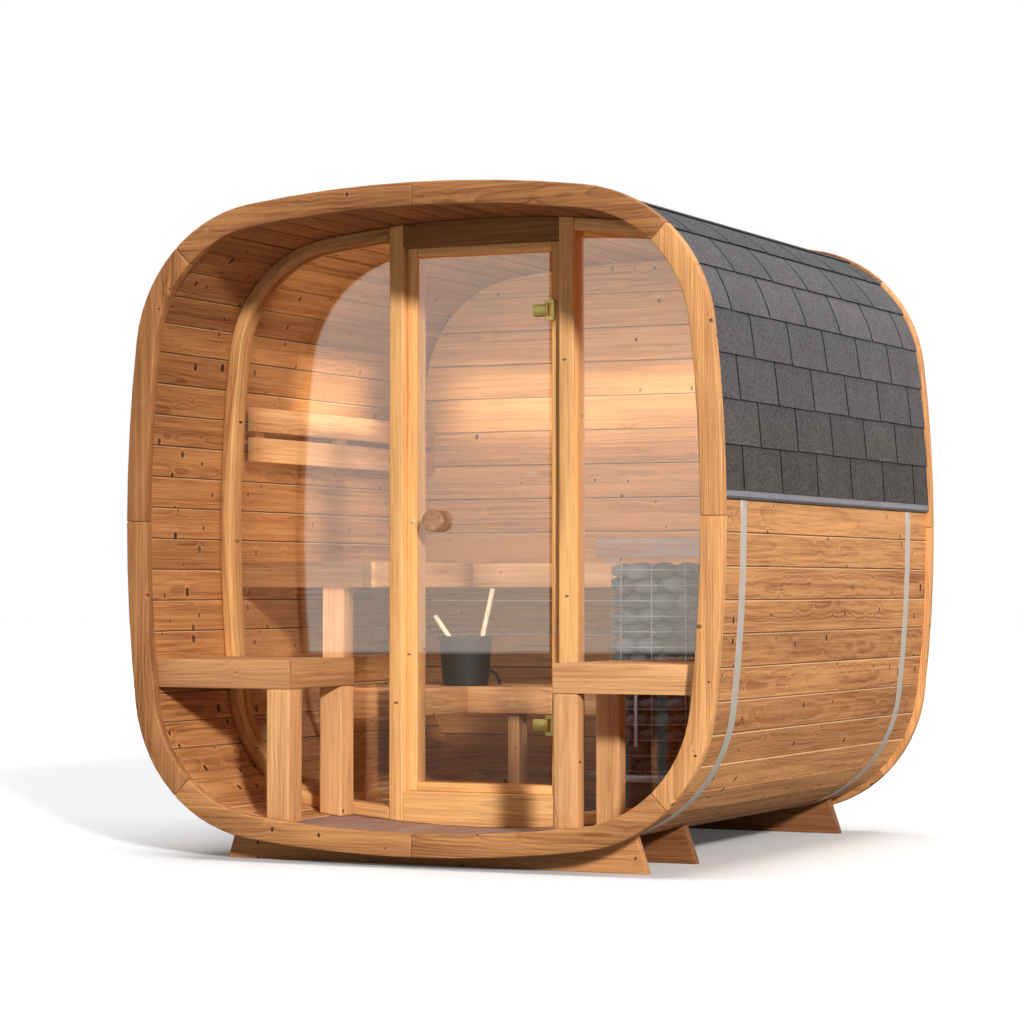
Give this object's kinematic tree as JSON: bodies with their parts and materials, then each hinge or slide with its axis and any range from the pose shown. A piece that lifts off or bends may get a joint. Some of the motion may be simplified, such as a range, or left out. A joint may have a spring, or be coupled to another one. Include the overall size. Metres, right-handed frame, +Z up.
{
  "type": "outdoor sauna cabin",
  "caption": "Rounded cube sauna cabin of curved timber on feet, with open porch, glazed front wall, hinged glass door, corner benches and a stone heater.",
  "frame": {"origin": "centre of the cabin at ground level, below the middle of its depth", "axes": "+X to the right as seen from the porch, +Y from the porch to the back wall, +Z up"},
  "size_m": [2.2, 2.19, 2.266],
  "materials": {
    "wall_boards": "oiled",
    "ring_boards": "oiled",
    "frame_timber": "oiled",
    "bench_timber": "oiled",
    "foot_timber": "oiled",
    "shingles": "mineral-surfaced",
    "eave_metal": "satin",
    "hoop_steel": "satin",
    "glass": "clear",
    "brass": "satin",
    "knob_wood": "satin",
    "catch": "gloss",
    "stand_steel": "satin",
    "stones": "rough",
    "pail": "stained dark"
  },
  "bodies": {
    "cabin": {"floor_boards": "wall_boards", "roof_boards": "wall_boards", "wall_left": "wall_boards", "wall_right": "wall_boards", "corners_left": "wall_boards", "corners_right": "wall_boards", "front_ring_left": "ring_boards", "front_ring_right": "ring_boards", "back_ring_left": "ring_boards", "back_ring_right": "ring_boards", "roofing_left": "shingles", "roofing_top": "shingles", "roofing_right": "shingles", "eave_strips": "eave_metal", "hoops": "hoop_steel", "foot_front": "foot_timber", "foot_middle": "foot_timber", "foot_rear": "foot_timber", "back_wall": "wall_boards", "battens_left": "frame_timber", "battens_right": "frame_timber", "glass_left": "glass", "glass_right": "glass", "door_post_left": "frame_timber", "door_post_right": "frame_timber", "door_jambs": "frame_timber", "door_rails": "frame_timber", "door_header": "frame_timber", "door_sill": "frame_timber", "hinge_leaves": "brass", "ball_catch": "catch", "porch_bench_left": "bench_timber", "porch_bench_right": "bench_timber", "porch_posts_left": "bench_timber", "porch_posts_right": "bench_timber", "upper_bench_left": "bench_timber", "upper_bench_back": "bench_timber", "lower_bench_left": "bench_timber", "lower_bench_back": "bench_timber", "bench_legs": "bench_timber", "bench_posts": "bench_timber", "backrest_boards": "bench_timber", "backrest_battens": "bench_timber", "heater_stand": "stand_steel", "heater_column": "stones", "heater_guard": "bench_timber", "pail": "pail", "ladles": "knob_wood"},
    "door": {"door_glass": "glass", "hinge_clamps": "brass", "outer_knob": "knob_wood", "inner_knob": "knob_wood"}
  },
  "joints": [
    {"name": "door_hinge", "type": "hinge", "parent": "cabin", "child": "door", "pos_m": [0.245, -0.554, 1.1645], "axis": [0, 0, 1], "range_deg": [0, 100]}
  ]
}
